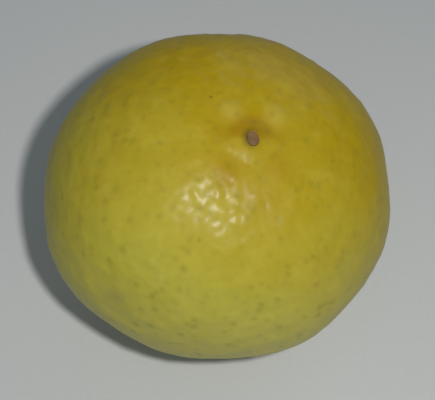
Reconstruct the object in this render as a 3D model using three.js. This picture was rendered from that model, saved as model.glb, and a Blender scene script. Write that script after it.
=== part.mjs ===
// A ripe key lime resting on its stem end, blossom end up and leaning a little.
// Millimetres, +Z up. The origin is on the floor under the fruit's centre.
//
// Each piece is turned about the fruit's own axis, which runs from the stem end (-) to the
// blossom end (+). The whole fruit then gets its uneven outline, is pressed flat where it
// touches the floor, and is leaned over.

import * as THREE from 'three';

// Body: a globe shorter along its axis than across, and flatter at the blossom end
const BODY_RADIUS = 19.21;
const POLE_FLATTENING = 0.045;
const BLOSSOM_FLATTENING = 0.03;
const SEGMENTS_ROUND = 60;

// Uneven outline: swellings and hollows round the girth, fading to nothing at both ends.
// height is in millimetres, heading in degrees from the fruit's +X towards its +Y.
const SWELLINGS = [
  { name: 'oval girth', waves: 2, height: 0.58, heading: 7 },
  { name: 'one fuller side', waves: 3, height: 0.09, heading: -38 },
  { name: 'broad flats', waves: 4, height: 0.12, heading: 33 },
  { name: 'flats over the segments', waves: 8, height: 0.12, heading: -14 },
];

// One flatter face between the blossom end and the girth
const FACE_ANGLE = 27;
const FACE_HEADING = -112;
const FACE_WIDTH = 6.5;
const FACE_DEPTH = 0.3;

// Blossom end: a low nipple inside a ring furrow that is deepest on one side
const NIPPLE_HEIGHT = 0.3;
const NIPPLE_RADIUS = 2.5;
const FURROW_RADIUS = 3;
const FURROW_WIDTH = 1;
const FURROW_DEPTH = 0.3;
const FURROW_SHALLOW_SHARE = 0.35;
const FURROW_HEADING = 95;

// Style scar: a dried plug in a small pit on top of the nipple
const STYLE_SCAR_RADIUS = 0.78;
const STYLE_SCAR_THICKNESS = 0.5;
const STYLE_SCAR_EDGE = 0.12;
const STYLE_PIT_DEPTH = 0.75;

// Stem scar: a corky disc in a shallow dimple, left where the stalk let go
const STEM_SCAR_RADIUS = 1.25;
const STEM_SCAR_THICKNESS = 0.5;
const STEM_SCAR_EDGE = 0.15;
const STEM_PIT_DEPTH = 0.9;
const STEM_DIMPLE_RADIUS = 2.1;
const STEM_DIMPLE_DEPTH = 0.2;

// Clearance between a scar and the pit that holds it, and the slope of the pit's wall
const SCAR_GAP = 0.3;
const PIT_WALL_SLOPE = 0.08;
const SCAR_SEGMENTS = 28;

// Rest: the blossom end leans over, and the rind under the fruit is pressed flat
const LEAN_ANGLE = 13.3;
const LEAN_HEADING = -22.5;
const PRESSED_DEPTH = 0.38;

// Rings of skin: many close together under the fruit and on its crown, fewer over the girth
const UNDERSIDE_EDGE_ANGLE = 150;
const CROWN_EDGE_ANGLE = 16;
const UNDERSIDE_RINGS = 14;
const GIRTH_RINGS = 24;
const CROWN_RINGS = 14;

const RIND_COLOUR = '#a6982f';
const RIND_ROUGHNESS = 0.38;
const STYLE_SCAR_COLOUR = '#80644f';
const STEM_SCAR_COLOUR = '#7d6a4c';
const SCAR_ROUGHNESS = 0.85;

const radians = THREE.MathUtils.degToRad;
const bump = (distance, centre, width) => Math.exp(-(((distance - centre) / width) ** 2));

// Distance from the fruit's centre to its smooth skin, at an angle from the blossom end
function skinRadius(angle) {
  const along = Math.cos(angle);
  const shorter = (POLE_FLATTENING * (3 * along ** 2 - 1)) / 2;
  const flatter = (BLOSSOM_FLATTENING * (5 * along ** 3 - 3 * along)) / 2;
  const globe = BODY_RADIUS * (1 - shorter - flatter);
  const fromAxis = globe * Math.sin(angle);
  if (along > 0) {
    return globe + NIPPLE_HEIGHT * Math.exp(-((fromAxis / NIPPLE_RADIUS) ** 2));
  }
  return globe - STEM_DIMPLE_DEPTH * Math.exp(-((fromAxis / STEM_DIMPLE_RADIUS) ** 4));
}

function skinPoint(angle) {
  const radius = skinRadius(angle);
  return new THREE.Vector2(radius * Math.sin(angle), radius * Math.cos(angle));
}

function evenSteps(first, last, count) {
  return Array.from({ length: count }, (_, step) => first + ((last - first) * step) / count);
}

// Turns a profile about the axis, listed from the stem end up to the blossom end
function turned(profile, segments) {
  const solid = new THREE.LatheGeometry(profile, segments);
  solid.rotateX(Math.PI / 2);
  return solid;
}

// Half the fruit's outline, from the floor of the stem's pit to the floor of the style's pit
function fruitProfile() {
  const stylePit = STYLE_SCAR_RADIUS + SCAR_GAP;
  const stemPit = STEM_SCAR_RADIUS + SCAR_GAP;
  const styleRim = stylePit + PIT_WALL_SLOPE;
  const stemRim = stemPit + PIT_WALL_SLOPE;
  const styleRimAngle = Math.asin(styleRim / BODY_RADIUS);
  const stemRimAngle = Math.PI - Math.asin(stemRim / BODY_RADIUS);
  const styleFloor = skinPoint(styleRimAngle).y - STYLE_PIT_DEPTH;
  const stemFloor = skinPoint(stemRimAngle).y + STEM_PIT_DEPTH;
  const undersideEdge = radians(UNDERSIDE_EDGE_ANGLE);
  const crownEdge = radians(CROWN_EDGE_ANGLE);
  const angles = [
    ...evenSteps(stemRimAngle, undersideEdge, UNDERSIDE_RINGS),
    ...evenSteps(undersideEdge, crownEdge, GIRTH_RINGS),
    ...evenSteps(crownEdge, styleRimAngle, CROWN_RINGS),
    styleRimAngle,
  ];
  return [
    new THREE.Vector2(0, stemFloor),
    new THREE.Vector2(stemPit, stemFloor),
    ...angles.map(skinPoint),
    new THREE.Vector2(stylePit, styleFloor),
    new THREE.Vector2(0, styleFloor),
  ];
}

const faceDirection = new THREE.Vector3(
  Math.sin(radians(FACE_ANGLE)) * Math.cos(radians(FACE_HEADING)),
  Math.sin(radians(FACE_ANGLE)) * Math.sin(radians(FACE_HEADING)),
  Math.cos(radians(FACE_ANGLE)),
);

// Moves each point of the skin out or in along the line from the fruit's centre
function roughen(solid) {
  const points = solid.getAttribute('position');
  const point = new THREE.Vector3();
  for (let index = 0; index < points.count; index += 1) {
    point.fromBufferAttribute(points, index);
    const reach = point.length();
    const fromAxis = Math.hypot(point.x, point.y);
    const heading = Math.atan2(point.y, point.x);
    const fade = (fromAxis / reach) ** 2;
    let change = 0;
    for (const swelling of SWELLINGS) {
      const phase = swelling.waves * (heading - radians(swelling.heading));
      change += swelling.height * fade * Math.cos(phase);
    }
    if (point.z > 0) {
      const facing = (1 + Math.cos(heading - radians(FURROW_HEADING))) / 2;
      const share = FURROW_SHALLOW_SHARE + (1 - FURROW_SHALLOW_SHARE) * facing;
      change -= FURROW_DEPTH * share * bump(fromAxis, FURROW_RADIUS, FURROW_WIDTH);
    }
    change -= FACE_DEPTH * bump(point.angleTo(faceDirection) * BODY_RADIUS, 0, FACE_WIDTH);
    point.multiplyScalar(1 + change / reach);
    points.setXYZ(index, point.x, point.y, point.z);
  }
}

// Presses flat whatever reaches past the floor, and returns the centre's height above it
function pressFlat(solid, down) {
  const points = solid.getAttribute('position');
  const point = new THREE.Vector3();
  let lowest = 0;
  for (let index = 0; index < points.count; index += 1) {
    lowest = Math.max(lowest, point.fromBufferAttribute(points, index).dot(down));
  }
  const height = lowest - PRESSED_DEPTH;
  for (let index = 0; index < points.count; index += 1) {
    point.fromBufferAttribute(points, index);
    const below = point.dot(down) - height;
    if (below > 0) {
      point.addScaledVector(down, -below);
      points.setXYZ(index, point.x, point.y, point.z);
    }
  }
  return height;
}

// A flat plug; outward is +1 for the blossom end and -1 for the stem end. Its outer face is
// rounded over in two steps of the edge, and its inner face has a small chamfer.
function scar(radius, thickness, edge, inner, outward) {
  const outer = inner + outward * thickness;
  const profile = [
    new THREE.Vector2(0, inner),
    new THREE.Vector2(radius - edge / 2, inner),
    new THREE.Vector2(radius, inner + outward * edge),
    new THREE.Vector2(radius, outer - outward * 2 * edge),
    new THREE.Vector2(radius - edge, outer - outward * edge / 2),
    new THREE.Vector2(radius / 2, outer),
    new THREE.Vector2(0, outer),
  ];
  return turned(outward > 0 ? profile : profile.reverse(), SCAR_SEGMENTS);
}

function piece(name, solid, colour, roughness) {
  solid.computeVertexNormals();
  const skin = new THREE.MeshStandardMaterial({ color: colour, roughness, metalness: 0 });
  const mesh = new THREE.Mesh(solid, skin);
  mesh.name = name;
  return mesh;
}

const leanAxis = new THREE.Vector3(
  -Math.sin(radians(LEAN_HEADING)),
  Math.cos(radians(LEAN_HEADING)),
  0,
);
const leanTurn = new THREE.Quaternion().setFromAxisAngle(leanAxis, radians(LEAN_ANGLE));
const down = new THREE.Vector3(0, 0, -1).applyQuaternion(leanTurn.clone().invert());

const profile = fruitProfile();
const rind = turned(profile, SEGMENTS_ROUND);
roughen(rind);
const restHeight = pressFlat(rind, down);

const fruit = piece('fruit', rind, RIND_COLOUR, RIND_ROUGHNESS);
const styleScar = piece(
  'style_scar',
  scar(STYLE_SCAR_RADIUS, STYLE_SCAR_THICKNESS, STYLE_SCAR_EDGE, profile.at(-1).y + SCAR_GAP, 1),
  STYLE_SCAR_COLOUR,
  SCAR_ROUGHNESS,
);
const stemScar = piece(
  'stem_scar',
  scar(STEM_SCAR_RADIUS, STEM_SCAR_THICKNESS, STEM_SCAR_EDGE, profile.at(0).y - SCAR_GAP, -1),
  STEM_SCAR_COLOUR,
  SCAR_ROUGHNESS,
);

const leaned = new THREE.Group();
leaned.quaternion.copy(leanTurn);
leaned.position.set(0, 0, restHeight);
leaned.add(fruit, styleScar, stemScar);

const keyLime = new THREE.Group();
keyLime.add(leaned);

export default keyLime;
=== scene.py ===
"""A ripe key lime resting on its stem end, on a plain pale floor. Metres, +Z up."""

import bpy
import numpy as np
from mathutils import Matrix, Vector


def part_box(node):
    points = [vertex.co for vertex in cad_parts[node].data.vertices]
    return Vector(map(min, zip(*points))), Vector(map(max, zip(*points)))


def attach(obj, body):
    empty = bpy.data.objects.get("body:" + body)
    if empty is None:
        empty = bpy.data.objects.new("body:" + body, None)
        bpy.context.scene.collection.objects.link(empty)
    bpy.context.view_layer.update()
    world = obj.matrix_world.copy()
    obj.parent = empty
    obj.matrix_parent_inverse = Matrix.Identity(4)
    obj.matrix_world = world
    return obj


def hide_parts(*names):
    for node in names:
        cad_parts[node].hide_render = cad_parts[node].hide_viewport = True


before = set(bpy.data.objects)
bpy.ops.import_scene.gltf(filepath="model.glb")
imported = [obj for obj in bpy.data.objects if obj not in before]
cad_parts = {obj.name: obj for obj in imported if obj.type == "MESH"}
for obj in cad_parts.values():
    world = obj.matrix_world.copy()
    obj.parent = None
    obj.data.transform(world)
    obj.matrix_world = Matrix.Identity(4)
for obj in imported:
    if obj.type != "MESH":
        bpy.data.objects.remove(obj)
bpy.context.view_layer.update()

# ---------------------------------------------------------------------------------------------
# The fruit: one growing thing, a thin waxy rind over pith and flesh, filled out unevenly by the
# segments inside. It has a stem end underneath and a low nipple at the blossom end, oil glands
# dimple it all over, and its own weight presses a small flat spot where it sits.

MM = 0.001
BODY_RADIUS = 19.21 * MM
POLE_FLATTENING = 0.045
BLOSSOM_FLATTENING = 0.03
LEAN_ANGLE = np.radians(13.3)
LEAN_HEADING = np.radians(-22.5)
PRESSED_DEPTH = 0.38 * MM

# Swellings and hollows round the girth: how many, how high, and the heading of the first
SWELLINGS = ((2, 0.58 * MM, 7), (3, 0.09 * MM, -38), (4, 0.12 * MM, 33), (8, 0.12 * MM, -14))

# Random unevenness, from broad to fine: how many waves are added up, their length and height
BROAD_RIPPLE = (30, 9.0 * MM, 0.05 * MM)
MIDDLE_RIPPLE = (60, 3.6 * MM, 0.034 * MM)
SMALL_RIPPLE = (90, 2.0 * MM, 0.022 * MM)
FINE_RIPPLE = (120, 1.1 * MM, 0.0125 * MM)
BROAD_SHARE_AT_ENDS = 0.4
SMALL_SHARE_AT_ENDS = 0.3
SMOOTH_END_RADIUS = 3.4 * MM
SMOOTH_END_FADE = 2.4 * MM

# The blossom end: a nipple in a ring furrow, and the pit that holds the style's scar
NIPPLE_HEIGHT = 0.27 * MM
NIPPLE_RADIUS = 2.5 * MM
FURROW_RADIUS = 2.9 * MM
FURROW_WIDTH = 1.05 * MM
FURROW_DEPTH = 0.27 * MM
FURROW_HEADING = np.radians(92)
FURROW_SPREAD = 0.35
FURROW_FADE = 0.9
FURROW_SHALLOW_SHARE = 0.3
STYLE_PIT_RADIUS = 0.79 * MM
STYLE_PIT_DEPTH = 0.22 * MM
STYLE_PIT_WALL = 0.2 * MM
SCAR_LENGTHENING = 0.1
SCAR_HEADING = np.radians(100)

# Where the furrow deepens again in front: by what share, at which heading, and how narrowly
HOLLOWS = ((0.35, -128, 0.18), (0.3, -28, 0.16))

# The stem end: a shallow dimple round the pit that the stem's scar fills
STEM_DIMPLE_RADIUS = 2.1 * MM
STEM_DIMPLE_DEPTH = 0.2 * MM
STEM_PIT_RADIUS = 1.36 * MM
STEM_PIT_DEPTH = 0.5 * MM
STEM_PIT_WALL = 0.2 * MM

# Places on the skin: the angle from the blossom end and the heading, in degrees, and the width
FLATTER_FACE = (27, -112, 6.5 * MM)
FLATTER_FACE_DEPTH = 0.3 * MM
SHOULDERS = ((13, 126, 1.3 * MM), (13, 49, 1.3 * MM))
SHOULDER_HEIGHT = 0.17 * MM
BRUISE = (74, -130, 1.1 * MM)

# The same after each mark's strength
# Deep amber patches of painted shade, in the hollows round the nipple
HOLLOW_SHADE_PATCHES = (
    (0.6, 10, 172, 1.5 * MM),
    (0.6, 9, 15, 1.3 * MM),
    (0.75, 15, -123, 2.1 * MM),
    (0.65, 13, -46, 1.9 * MM),
    (0.45, 19, -78, 2.4 * MM),
)
# Pale marks: the first two are scuffs; the last four, by the nipple, are painted glints
SCUFFS_AND_GLINTS = (
    (0.7, 53, -127, 0.5 * MM),
    (0.7, 56, -121, 0.5 * MM),
    (0.8, 9, -150, 0.28 * MM),
    (0.8, 8, -137, 0.28 * MM),
    (0.9, 7, -113, 0.24 * MM),
    (0.9, 8, -107, 0.22 * MM),
)
DARK_SPECKS = ((1.0, 21, 132, 0.16 * MM), (0.8, 39, -115, 0.13 * MM))

# Round the nipple: painted shade in a crescent, painted shadow at the pit's edge, duller wax
CRESCENT_RADIUS = 2.1 * MM
CRESCENT_FADE = 2.5 * MM
PIT_SHADOW_FROM_PIT = 0.12 * MM
PIT_SHADOW_WIDTH = 0.48 * MM
PIT_SHADOW_HEADING = np.radians(165)
PIT_SHADOW_LEAST = 0.3
DULL_RADIUS = 3.8 * MM
DULL_FADE = 2.2 * MM

# Oil glands: a dimple over each, and a darker fleck where the oil shows through
GLAND_PITCH = 1.12 * MM
GLAND_NUDGE = 0.3
GLAND_RADIUS = 0.34 * MM
GLAND_DEPTH = 0.028 * MM
GLAND_SIZES = (0.65, 1.15)
GLAND_DIPS = (0.15, 1.0)
GLANDLESS_RADIUS = 1.5 * MM
FLECK_RADIUS = 0.3 * MM
FLECK_RARITY = 4
FAINTER_SIDE = np.array([0.35, 0.45, 0.8])

# The grid of the skin, and where its rings lie closer: by how much, at what arc from the
# blossom end, and over what width
POINTS_ROUND = 368
RINGS = 262
WIDEST_RING_STEP = 0.27
CLOSER_RINGS = (
    (0.11, 0, 9 * MM),
    (0.08, 0, 4 * MM),
    (0.035, STYLE_PIT_RADIUS, 0.7 * MM),
    (0.15, np.pi * BODY_RADIUS, 3 * MM),
)


def smooth_step(value):
    """0 below 0, 1 above 1, and 3v^2 - 2v^3 between."""
    inside = np.clip(value, 0, 1)
    return inside * inside * (3 - 2 * inside)


def hump(distance, centre, width):
    """A bell curve of height 1: e to the minus square of the distance from centre over width."""
    return np.exp(-(((distance - centre) / width) ** 2))


def turn_towards(heading, from_heading):
    """1 facing from_heading, -1 facing away: the cosine of the angle between, in radians."""
    return np.cos(heading - from_heading)


def outwards(angle, heading):
    """Unit vectors at angles from the blossom end and at headings round the axis, in radians."""
    return np.stack(
        [np.sin(angle) * np.cos(heading), np.sin(angle) * np.sin(heading), np.cos(angle)], axis=-1
    )


def patch(unit, angle, heading, width):
    """A round bell-shaped patch on the skin, centred at an angle and a heading in degrees: the
    hump of each point's distance over the skin from that centre."""
    centre = outwards(np.radians(angle), np.radians(heading))
    return hump(BODY_RADIUS * np.arccos(np.clip(unit @ centre, -1, 1)), 0, width)


def ring_angles(count):
    """Angles of the rings from the blossom end. The step wanted at each angle is the widest one
    less a hump for each closer band. One over the step is added up along the arc, and the total
    is read backwards at even intervals."""
    angle = np.linspace(0, np.pi, 4001)
    arc = BODY_RADIUS * angle
    step = WIDEST_RING_STEP - sum(less * hump(arc, at, width) for less, at, width in CLOSER_RINGS)
    total = np.concatenate([[0], np.cumsum(np.diff(angle) / step[1:])])
    return np.interp(np.linspace(0, total[-1], count), total, angle)


def polar_grid(ring, points_round):
    """Angles and headings of a closed grid: the first end, rings of even points, the last end."""
    round_it = np.linspace(0, 2 * np.pi, points_round, endpoint=False)
    angle, heading = (grid.ravel() for grid in np.meshgrid(ring, round_it, indexing="ij"))
    return np.concatenate([[0], angle, [np.pi]]), np.concatenate([[0], heading, [0]])


def closed_faces(rings, points_round):
    """Faces of a polar grid, all facing out: a fan of triangles round each end, and quads
    between neighbouring rings."""
    corner = 1 + np.arange(rings * points_round).reshape(rings, points_round)
    beside = np.roll(corner, -1, axis=1)
    quads = np.stack([corner[:-1], corner[1:], beside[1:], beside[:-1]], axis=-1).reshape(-1, 4)
    first_fan = np.stack([np.zeros_like(corner[0]), corner[0], beside[0]], axis=1)
    last = np.full_like(corner[0], rings * points_round + 1)
    last_fan = np.stack([last, beside[-1], corner[-1]], axis=1)
    return np.concatenate([first_fan, last_fan]), quads


def nearest_gland(unit, glands):
    """For each direction, the number of the nearest gland and the distance to it over the skin:
    the body's radius times the angle whose cosine is the largest dot product. The directions
    are taken a block at a time, to save memory."""
    number = np.empty(len(unit), int)
    cosine = np.empty(len(unit))
    for block in np.array_split(np.arange(len(unit)), 60):
        dots = unit[block] @ glands.T
        number[block] = dots.argmax(axis=1)
        cosine[block] = dots.max(axis=1)
    return number, BODY_RADIUS * np.arccos(np.clip(cosine, -1, 1))


def gland_directions(chance):
    """Unit vectors spread evenly over a globe on the golden-angle spiral, as many as hexagons of
    the pitch would cover it, each nudged at random by a share of the pitch."""
    hexagon = np.sqrt(0.75) * GLAND_PITCH**2
    count = int(4 * np.pi * BODY_RADIUS**2 / hexagon)
    place = np.arange(count) + 0.5
    height = 1 - 2 * place / count
    heading = np.pi * (1 + 5**0.5) * place
    spiral = outwards(np.arccos(height), heading)
    nudged = spiral + chance.normal(0, GLAND_NUDGE * GLAND_PITCH / BODY_RADIUS, spiral.shape)
    return nudged / np.linalg.norm(nudged, axis=1, keepdims=True)


def ripple(unit, chance, waves, length, height):
    """Smooth random unevenness: the height times a sum of cosine waves of one length, which run
    through the globe in random directions with random phases, over the root of their number."""
    direction = chance.normal(0, 1, (waves, 3))
    direction /= np.linalg.norm(direction, axis=1, keepdims=True)
    phase = chance.uniform(0, 2 * np.pi, waves)
    turns = unit @ direction.T * (2 * np.pi * BODY_RADIUS / length) + phase
    return height * np.cos(turns).sum(axis=1) / np.sqrt(waves)


def pit(from_axis, edge, wall):
    """1 inside the edge and 0 outside it, by a smooth step as wide as the wall."""
    return 1 - smooth_step((from_axis - edge) / wall + 0.5)


chance = np.random.default_rng(23)
angle, heading = polar_grid(ring_angles(RINGS)[1:-1], POINTS_ROUND)
unit = outwards(angle, heading)
from_axis = BODY_RADIUS * np.sin(angle)
blossom = angle < np.pi / 2

# Globe, swellings and unevenness
along = np.cos(angle)
girth = np.sin(angle) ** 2
shorter = POLE_FLATTENING * (3 * along**2 - 1) / 2
flatter = BLOSSOM_FLATTENING * (5 * along**3 - 3 * along) / 2
radius = BODY_RADIUS * (1 - shorter - flatter)
for waves, height, first in SWELLINGS:
    radius += height * girth * np.cos(waves * (heading - np.radians(first)))
broad_share = BROAD_SHARE_AT_ENDS + (1 - BROAD_SHARE_AT_ENDS) * girth
off_ends = smooth_step((from_axis - SMOOTH_END_RADIUS) / SMOOTH_END_FADE)
small_share = SMALL_SHARE_AT_ENDS + (1 - SMALL_SHARE_AT_ENDS) * off_ends
radius += ripple(unit, chance, *BROAD_RIPPLE) * broad_share
radius += ripple(unit, chance, *MIDDLE_RIPPLE)
radius += ripple(unit, chance, *SMALL_RIPPLE) * small_share
radius += ripple(unit, chance, *FINE_RIPPLE) * small_share
radius -= FLATTER_FACE_DEPTH * patch(unit, *FLATTER_FACE)

# Blossom end: the furrow is deepest behind the nipple
behind = smooth_step((turn_towards(heading, FURROW_HEADING) + FURROW_SPREAD) / FURROW_FADE)
in_front = FURROW_SHALLOW_SHARE + sum(
    share * hump(turn_towards(heading, np.radians(towards)), 1, narrow)
    for share, towards, narrow in HOLLOWS
)
furrow = hump(from_axis, FURROW_RADIUS, FURROW_WIDTH) * np.maximum(behind, in_front)
shoulder = sum(patch(unit, *place) for place in SHOULDERS)
style_edge = STYLE_PIT_RADIUS * (1 + SCAR_LENGTHENING * np.cos(2 * (heading - SCAR_HEADING)))
radius += NIPPLE_HEIGHT * hump(from_axis, 0, NIPPLE_RADIUS) * blossom
radius -= FURROW_DEPTH * furrow * blossom
radius += SHOULDER_HEIGHT * shoulder
radius -= STYLE_PIT_DEPTH * pit(from_axis, style_edge, STYLE_PIT_WALL) * blossom

# Stem end: the dimple is nearly flat in its middle, e to the minus fourth power
dimple = np.exp(-((from_axis / STEM_DIMPLE_RADIUS) ** 4))
radius -= STEM_DIMPLE_DEPTH * dimple * ~blossom
radius -= STEM_PIT_DEPTH * pit(from_axis, STEM_PIT_RADIUS, STEM_PIT_WALL) * ~blossom

# Oil glands, none of them on the very ends
glands = gland_directions(chance)
number, to_gland = nearest_gland(unit, glands)
gland_size = chance.uniform(*GLAND_SIZES, len(glands))[number]
gland_dip = chance.uniform(*GLAND_DIPS, len(glands))[number]
clear_of_ends = smooth_step(from_axis / GLANDLESS_RADIUS - 1)
gland_dimple = hump(to_gland, 0, GLAND_RADIUS * gland_size)
radius -= GLAND_DEPTH * gland_dip * gland_dimple * clear_of_ends

# Lean, then press flat what reaches past the floor
cos_lean, sin_lean = np.cos(LEAN_ANGLE), np.sin(LEAN_ANGLE)
cos_head, sin_head = np.cos(LEAN_HEADING), np.sin(LEAN_HEADING)
to_heading = np.array([[cos_head, -sin_head, 0], [sin_head, cos_head, 0], [0, 0, 1]])
tip = np.array([[cos_lean, 0, sin_lean], [0, 1, 0], [-sin_lean, 0, cos_lean]])
lean = to_heading @ tip @ to_heading.T
points = (unit * radius[:, None]) @ lean.T
rest_height = -points[:, 2].min() - PRESSED_DEPTH
points[:, 2] = np.maximum(points[:, 2] + rest_height, 0)

# Fit the skin just inside the fruit's own box
fruit_low, fruit_high = (np.array(corner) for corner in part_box("fruit"))
span_low, span_high = points.min(axis=0), points.max(axis=0)
fit = min((fruit_low[:2] / span_low[:2]).min(), (fruit_high / span_high).min())
points *= fit
fruit_centre = np.array([0, 0, rest_height * fit])

# Flecks, most of them faint, and fainter still on the upper side
fleck_strength = chance.uniform(0, 1, len(glands))[number] ** FLECK_RARITY
lower_side = smooth_step(0.55 - 0.5 * (unit @ lean.T) @ FAINTER_SIDE)
fleck = hump(to_gland, 0, FLECK_RADIUS * (0.8 + 0.6 * fleck_strength))
fleck *= (0.1 + 0.9 * fleck_strength) * (0.5 + 0.5 * lower_side)

# Painted shade, painted light and the skin's own marks
# Painted shade: deep amber in the furrow behind the nipple and in the hollows round it
furrow_shade = 1 - smooth_step((from_axis - CRESCENT_RADIUS) / CRESCENT_FADE)
furrow_shade *= behind * blossom
for strength, *place in HOLLOW_SHADE_PATCHES:
    furrow_shade = np.maximum(furrow_shade, strength * patch(unit, *place))
# Pale: the shoulders' own colour and painted light on them, painted glints and two scuffs
pale = 0.8 * shoulder + sum(strength * patch(unit, *place) for strength, *place in SCUFFS_AND_GLINTS)
# Painted shadow round the style pit's edge, darkest on one side
pit_shadow = hump(from_axis, style_edge + PIT_SHADOW_FROM_PIT, PIT_SHADOW_WIDTH) * blossom
pit_shadow_side = smooth_step(0.5 + 0.5 * turn_towards(heading, PIT_SHADOW_HEADING))
pit_shadow *= PIT_SHADOW_LEAST + (1 - PIT_SHADOW_LEAST) * pit_shadow_side
dull = (1 - smooth_step((from_axis - DULL_RADIUS) / DULL_FADE)) * blossom
marks = {
    "fleck": fleck,
    "furrow_shade": furrow_shade,
    "pale": pale,
    "pit_shadow": pit_shadow,
    "bruise": patch(unit, *BRUISE),
    "specks": sum(strength * patch(unit, *place) for strength, *place in DARK_SPECKS),
    "dull": dull,
}


def surface(name, points, fans, quads):
    """A mesh object of triangle fans and quads, smooth all over."""
    mesh = bpy.data.meshes.new(name)
    mesh.from_pydata(points, [], [*fans.tolist(), *quads.tolist()])
    mesh.shade_smooth()
    made = bpy.data.objects.new(name, mesh)
    bpy.context.scene.collection.objects.link(made)
    return made


rind = surface("Rind", points, *closed_faces(RINGS - 2, POINTS_ROUND))
for name, values in marks.items():
    kept = rind.data.attributes.new(name, "FLOAT", "POINT")
    kept.data.foreach_set("value", values.astype(np.float32))


class Wire:
    """An output of a shader node. Arithmetic on it adds the Math nodes that work it out."""

    def __init__(self, tree, socket=None):
        self.tree = tree
        self.socket = socket

    def node(self, kind, settings=None, sockets=None, output=0):
        """Adds a node: its settings first, then a value or a wire for each named socket."""
        made = self.tree.nodes.new(kind)
        for name, value in (settings or {}).items():
            setattr(made, name, value)
        for name, value in (sockets or {}).items():
            if isinstance(value, Wire):
                self.tree.links.new(value.socket, made.inputs[name])
            else:
                made.inputs[name].default_value = value
        return Wire(self.tree, made.outputs[output])

    def math(self, operation, first, second=0.0, clamp=False):
        """Adds a Math node; clamp keeps its result from 0 to 1."""
        return self.node(
            "ShaderNodeMath", {"operation": operation, "use_clamp": clamp}, {0: first, 1: second}
        )

    def blend(self, share, under, over):
        """The colour under, painted over with the colour over by share."""
        return self.node(
            "ShaderNodeMix",
            {"data_type": "RGBA", "clamp_factor": True},
            {0: share, 6: under, 7: over},
            output=2,
        )

    def clamped(self):
        """The value held from 0 to 1."""
        return self.math("ADD", self, 0.0, clamp=True)

    def __add__(self, other):
        return self.math("ADD", self, other)

    def __sub__(self, other):
        return self.math("SUBTRACT", self, other)

    def __rsub__(self, other):
        return self.math("SUBTRACT", other, self)

    def __mul__(self, other):
        return self.math("MULTIPLY", self, other)

    __radd__ = __add__
    __rmul__ = __mul__


def new_material(name):
    """An empty material, and a wire to start adding nodes from."""
    made = bpy.data.materials.new(name)
    made.use_nodes = True
    made.node_tree.nodes.clear()
    return made, Wire(made.node_tree)


def finish_material(wire, shader):
    """Joins a shader to the material's output."""
    end = wire.tree.nodes.new("ShaderNodeOutputMaterial")
    wire.tree.links.new(shader.socket, end.inputs["Surface"])


def noise(wire, place, scale, detail=2.0, roughness=0.5):
    """Cloudy unevenness from 0 to 1; scale is in clouds a metre."""
    return wire.node(
        "ShaderNodeTexNoise",
        {"noise_dimensions": "3D"},
        {"Vector": place, "Scale": scale, "Detail": detail, "Roughness": roughness},
    )


LEMON = (0.375, 0.332, 0.038, 1)
AMBER = (0.358, 0.247, 0.0015, 1)
PALE_GREEN_AND_BOUNCE = (0.53, 0.49, 0.15, 1)
LIGHT_MOTTLE = (0.48, 0.42, 0.06, 1)
DARK_MOTTLE = (0.28, 0.24, 0.005, 1)
FURROW_SHADE_AMBER = (0.305, 0.175, 0.0015, 1)
STRAW_AND_HIGHLIGHT = (0.50, 0.43, 0.10, 1)
PIT_SHADOW_BROWN = (0.13, 0.09, 0.012, 1)
FLECK_GREEN = (0.155, 0.15, 0.018, 1)
BRUISE_BROWN = (0.20, 0.17, 0.07, 1)
SPECK_BROWN = (0.06, 0.055, 0.02, 1)

rind_skin, wire = new_material("waxy lime rind")
place = wire.node("ShaderNodeTexCoord", output="Object")
across, deep, high = (
    wire.node("ShaderNodeSeparateXYZ", sockets={"Vector": place}, output=axis)
    for axis in ("X", "Y", "Z")
)
mark = {
    name: wire.node("ShaderNodeAttribute", {"attribute_name": name}, output="Fac")
    for name in marks
}

# Ground colour: amber to the right, the back and the top, and pale green low down in front.
# The slopes are shares a metre.
clouds = noise(wire, place, 95, detail=3)
ripe_side = (across * 20 + deep * 30 + high * 22 + clouds * 0.9 - 0.5).clamped()
# Pale green low in front: the greener stem side and painted bounce light from the floor
stem_side_and_bounce = (1.25 - high * 50 - deep * 15).clamped()
colour = wire.blend(ripe_side, LEMON, AMBER)
colour = wire.blend(stem_side_and_bounce * 0.6, colour, PALE_GREEN_AND_BOUNCE)

# Mottle, then the painted shade, painted light and marks kept with the points
mottle = noise(wire, place, 420, detail=3, roughness=0.6)
colour = wire.blend((mottle - 0.5) * 0.9, colour, LIGHT_MOTTLE)
colour = wire.blend((0.5 - mottle) * 0.7, colour, DARK_MOTTLE)
# Deep amber painted shade in the furrow and its hollows
colour = wire.blend(mark["furrow_shade"] * 0.82, colour, FURROW_SHADE_AMBER)
# Straw: painted light on the shoulders, painted glints by the nipple, and pale scuffs
colour = wire.blend(mark["pale"] * 0.4, colour, STRAW_AND_HIGHLIGHT)
# Brown painted shadow at the style pit's edge
colour = wire.blend(mark["pit_shadow"] * 0.7, colour, PIT_SHADOW_BROWN)
colour = wire.blend(mark["fleck"] * 0.6, colour, FLECK_GREEN)
colour = wire.blend(mark["bruise"] * (0.2 + 0.5 * mottle), colour, BRUISE_BROWN)
colour = wire.blend((mark["specks"] * 0.8).clamped(), colour, SPECK_BROWN)

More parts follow.
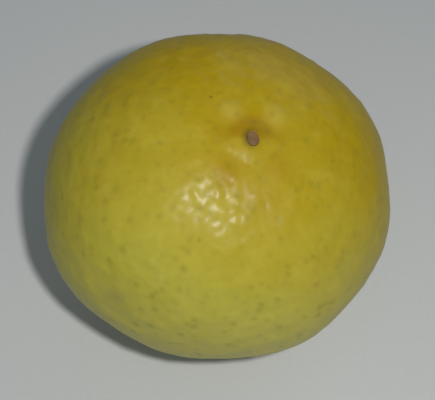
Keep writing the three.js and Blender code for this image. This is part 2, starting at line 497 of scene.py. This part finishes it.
# Skin grain, too fine for the mesh
grain = noise(wire, place, 2600, detail=2, roughness=0.6)
fine = noise(wire, place, 900, detail=2)
bumps = wire.node(
    "ShaderNodeBump",
    sockets={"Strength": 0.5, "Distance": 0.06 * MM, "Height": fine * 0.7 + grain * 0.3},
)
rind_shader = wire.node(
    "ShaderNodeBsdfPrincipled",
    {"subsurface_method": "RANDOM_WALK"},
    {
        "Base Color": colour,
        "Roughness": 0.4 + mottle * 0.12,
        "Normal": bumps,
        "Subsurface Weight": 0.12,
        "Subsurface Radius": (1.0, 0.7, 0.12),
        "Subsurface Scale": 1.2 * MM,
        "IOR": 1.45,
        "Specular IOR Level": 0.12,
        "Coat Weight": 0.12 - 0.11 * mark["dull"],
        "Coat Roughness": 0.25,
        "Coat IOR": 1.45,
    },
)
finish_material(wire, rind_shader)
rind.data.materials.append(rind_skin)
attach(rind, "root")
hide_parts("fruit")

# ---------------------------------------------------------------------------------------------
# The style's scar: the dried stump of the flower's style, a brown corky plug sunk in the pit on
# top of the nipple. Its outer face has shrunk into a shallow dish with a rough edge.

STYLE_SCAR_RADIUS = 0.74 * MM
STYLE_SCAR_THICKNESS = 0.42 * MM
STYLE_SCAR_SUNK = 0.24 * MM
STYLE_SCAR_DISH = 0.04 * MM
CORK_ROUGHNESS = 0.02 * MM
SCAR_POINTS_ROUND = 96
SCAR_RINGS = 40
EDGE_POWER = 0.4
ROUGH_WAVES = 40
ROUGH_FINENESS = 9

# Unevenness of a scar's rim: how many bulges round it, how big, and their phase
RIM_BULGES = ((3, 0.03, 1), (5, 0.025, 0))


def scar_plug(radius, thickness, centre, dish, lengthening, chance):
    """A plug turned about the fruit's axis. Going out along the back, round the edge and in over
    the face, the distance from the axis is the radius times the sine of the turn to the edge's
    power, and the height is half the thickness times the cosine to that power: a superellipse.
    The face is then dished and roughened by random cosine waves, and the rim made uneven."""
    turn = np.linspace(0, np.pi, SCAR_RINGS)[1:-1]
    turn, round_it = polar_grid(turn, SCAR_POINTS_ROUND)
    out = np.sin(turn) ** EDGE_POWER
    rise = np.sign(np.cos(turn)) * np.abs(np.cos(turn)) ** EDGE_POWER
    face = smooth_step(rise)
    rim = 1 + lengthening * np.cos(2 * (round_it - SCAR_HEADING)) * out
    for bulges, size, phase in RIM_BULGES:
        rim += size * np.cos(bulges * round_it + phase) * out
    spots = np.stack([out * np.cos(round_it), out * np.sin(round_it)], axis=1)
    waves = chance.normal(0, ROUGH_FINENESS, (ROUGH_WAVES, 2))
    rough = np.cos(spots @ waves.T + chance.uniform(0, 6.3, ROUGH_WAVES)).sum(axis=1)
    height = centre + thickness / 2 * rise - dish * face * (1 - out**2)
    height += CORK_ROUGHNESS * rough / np.sqrt(ROUGH_WAVES) * face
    from_centre = radius * out * rim
    return np.stack(
        [from_centre * np.cos(round_it), from_centre * np.sin(round_it), height], axis=1
    )


def cork(name, pale, dark, grains):
    """Dry corky tissue: dark and pale grains, so many a metre, mixed by a cloudy noise."""
    made, wire = new_material(name)
    place = wire.node("ShaderNodeTexCoord", output="Object")
    grain = noise(wire, place, grains, detail=4, roughness=0.65)
    colour = wire.blend(((grain - 0.35) * 2.6).clamped(), dark, pale)
    bumps = wire.node(
        "ShaderNodeBump", sockets={"Strength": 0.7, "Distance": 0.1 * MM, "Height": grain}
    )
    shader = wire.node(
        "ShaderNodeBsdfPrincipled",
        sockets={"Base Color": colour, "Roughness": 0.72 + grain * 0.2, "Normal": bumps},
    )
    finish_material(wire, shader)
    return made


pole_skin = BODY_RADIUS * (1 - POLE_FLATTENING - BLOSSOM_FLATTENING) + NIPPLE_HEIGHT
style_plug = scar_plug(
    radius=STYLE_SCAR_RADIUS,
    thickness=STYLE_SCAR_THICKNESS,
    centre=pole_skin - STYLE_SCAR_SUNK,
    dish=STYLE_SCAR_DISH,
    lengthening=SCAR_LENGTHENING,
    chance=chance,
)
style_points = style_plug @ lean.T * fit + fruit_centre
scar_faces = closed_faces(SCAR_RINGS - 2, SCAR_POINTS_ROUND)
style_scar = surface("Style_scar", style_points, *scar_faces)
style_scar.data.materials.append(
    cork(
        "style scar cork",
        pale=(0.21, 0.112, 0.042, 1),
        dark=(0.115, 0.058, 0.018, 1),
        grains=1300,
    )
)
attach(style_scar, "root")
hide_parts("style_scar")

# ---------------------------------------------------------------------------------------------
# The stem's scar: the corky disc left where the stalk let go, in the dimple underneath. It is
# dry, grey-brown and a little dished, and the fruit hides it as it sits.

STEM_SCAR_RADIUS = 1.25 * MM
STEM_SCAR_THICKNESS = 0.45 * MM
STEM_SCAR_SUNK = 0.3 * MM
STEM_SCAR_DISH = 0.09 * MM
STEM_SCAR_LENGTHENING = 0.03

stem_skin = BODY_RADIUS * (1 - POLE_FLATTENING + BLOSSOM_FLATTENING) - STEM_DIMPLE_DEPTH
stem_plug = scar_plug(
    radius=STEM_SCAR_RADIUS,
    thickness=STEM_SCAR_THICKNESS,
    centre=stem_skin - STEM_SCAR_SUNK,
    dish=STEM_SCAR_DISH,
    lengthening=STEM_SCAR_LENGTHENING,
    chance=chance,
)
stem_points = (stem_plug * [1, -1, -1]) @ lean.T * fit + fruit_centre
stem_scar = surface("Stem_scar", stem_points, *scar_faces)
stem_scar.data.materials.append(
    cork("stem scar cork", pale=(0.26, 0.20, 0.11, 1), dark=(0.11, 0.085, 0.05, 1), grains=1900)
)
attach(stem_scar, "root")
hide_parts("stem_scar")

# ---------------------------------------------------------------------------------------------
# The studio: a plain pale floor, a soft key light from close beside the camera, weak wide lights
# low in front and behind, and a cool even sky. None of it belongs to the fruit.

FLOOR_HALF_WIDTH = 1.5
FLOOR_GREY = (0.50, 0.51, 0.51, 1)
FLOOR_PALE = (0.56, 0.57, 0.57, 1)
floor_corners = FLOOR_HALF_WIDTH * np.array([[-1, -1, 0], [1, -1, 0], [1, 1, 0], [-1, 1, 0]])
floor = surface("Floor", floor_corners, np.empty((0, 3), int), np.array([[0, 1, 2, 3]]))
floor_finish, wire = new_material("pale floor")
place = wire.node("ShaderNodeTexCoord", output="Object")
weave = noise(wire, place, 1500, detail=2)
floor_colour = wire.blend(weave * 0.5, FLOOR_GREY, FLOOR_PALE)
floor_shader = wire.node(
    "ShaderNodeBsdfPrincipled", sockets={"Base Color": floor_colour, "Roughness": 0.9}
)
finish_material(wire, floor_shader)
floor.data.materials.append(floor_finish)


def direction(azimuth, elevation):
    """From the fruit towards a place round it; azimuth 0 is the front, and + is to the right."""
    return np.array(
        [
            np.sin(azimuth) * np.cos(elevation),
            -np.cos(azimuth) * np.cos(elevation),
            np.sin(elevation),
        ]
    )


def aim(thing, place, target):
    """Puts a light or a camera at a place, looking at a target, with its top upwards."""
    thing.location = place
    thing.rotation_mode = "QUATERNION"
    thing.rotation_quaternion = Vector(target - place).to_track_quat("-Z", "Y")
    bpy.context.scene.collection.objects.link(thing)


CAMERA_ELEVATION = np.radians(64)
CAMERA_DISTANCE = 0.160
AIM_BELOW_CENTRE = 0.23 * MM
AIM_RIGHT_OF_CENTRE = 0.09 * MM
SENSOR_WIDTH = 36.0
LENS = 113.6

towards_camera = direction(0, CAMERA_ELEVATION)
picture_up = np.array([0, np.sin(CAMERA_ELEVATION), np.cos(CAMERA_ELEVATION)])
picture_right = np.array([1.0, 0, 0])
aim_point = fruit_centre - picture_up * AIM_BELOW_CENTRE + picture_right * AIM_RIGHT_OF_CENTRE
camera = bpy.data.objects.new("Camera", bpy.data.cameras.new("Camera"))
camera.data.sensor_width = SENSOR_WIDTH
camera.data.lens = LENS
camera.data.clip_start = 0.01
aim(camera, aim_point + towards_camera * CAMERA_DISTANCE, aim_point)
bpy.context.scene.camera = camera


def lamp(name, shape, size, watts, colour, place):
    """An area light at a place, facing the fruit's centre. The camera doesn't see it."""
    light = bpy.data.lights.new(name, "AREA")
    light.shape = shape
    light.size = size
    light.energy = watts
    light.color = colour
    made = bpy.data.objects.new(name, light)
    made.visible_camera = False
    aim(made, place, fruit_centre)


KEY_DISTANCE = 0.162
KEY_TURN = np.radians(7.3)
KEY_RISE = np.radians(2.2)
WIDE_DISTANCE = 0.8
WIDE_SIZE = 0.5
towards_key = towards_camera + picture_right * np.tan(KEY_TURN) + picture_up * np.tan(KEY_RISE)
key_place = fruit_centre + towards_key / np.linalg.norm(towards_key) * KEY_DISTANCE
back_place = fruit_centre + direction(np.radians(155), np.radians(12)) * WIDE_DISTANCE
front_place = fruit_centre + direction(np.radians(-20), np.radians(8)) * WIDE_DISTANCE
lamp("Key_light", "DISK", 0.009, 0.2, (1.0, 0.985, 0.95), key_place)
lamp("Back_light", "SQUARE", WIDE_SIZE, 1.0, (0.90, 0.95, 1.0), back_place)
lamp("Fill_light", "SQUARE", WIDE_SIZE, 0.6, (0.97, 0.98, 1.0), front_place)

sky = bpy.data.worlds.new("Sky")
sky.use_nodes = True
sky_light = sky.node_tree.nodes["Background"]
sky_light.inputs["Color"].default_value = (0.80, 0.92, 1.0, 1)
sky_light.inputs["Strength"].default_value = 0.205
bpy.context.scene.world = sky
bpy.context.scene.view_settings.view_transform = "Standard"
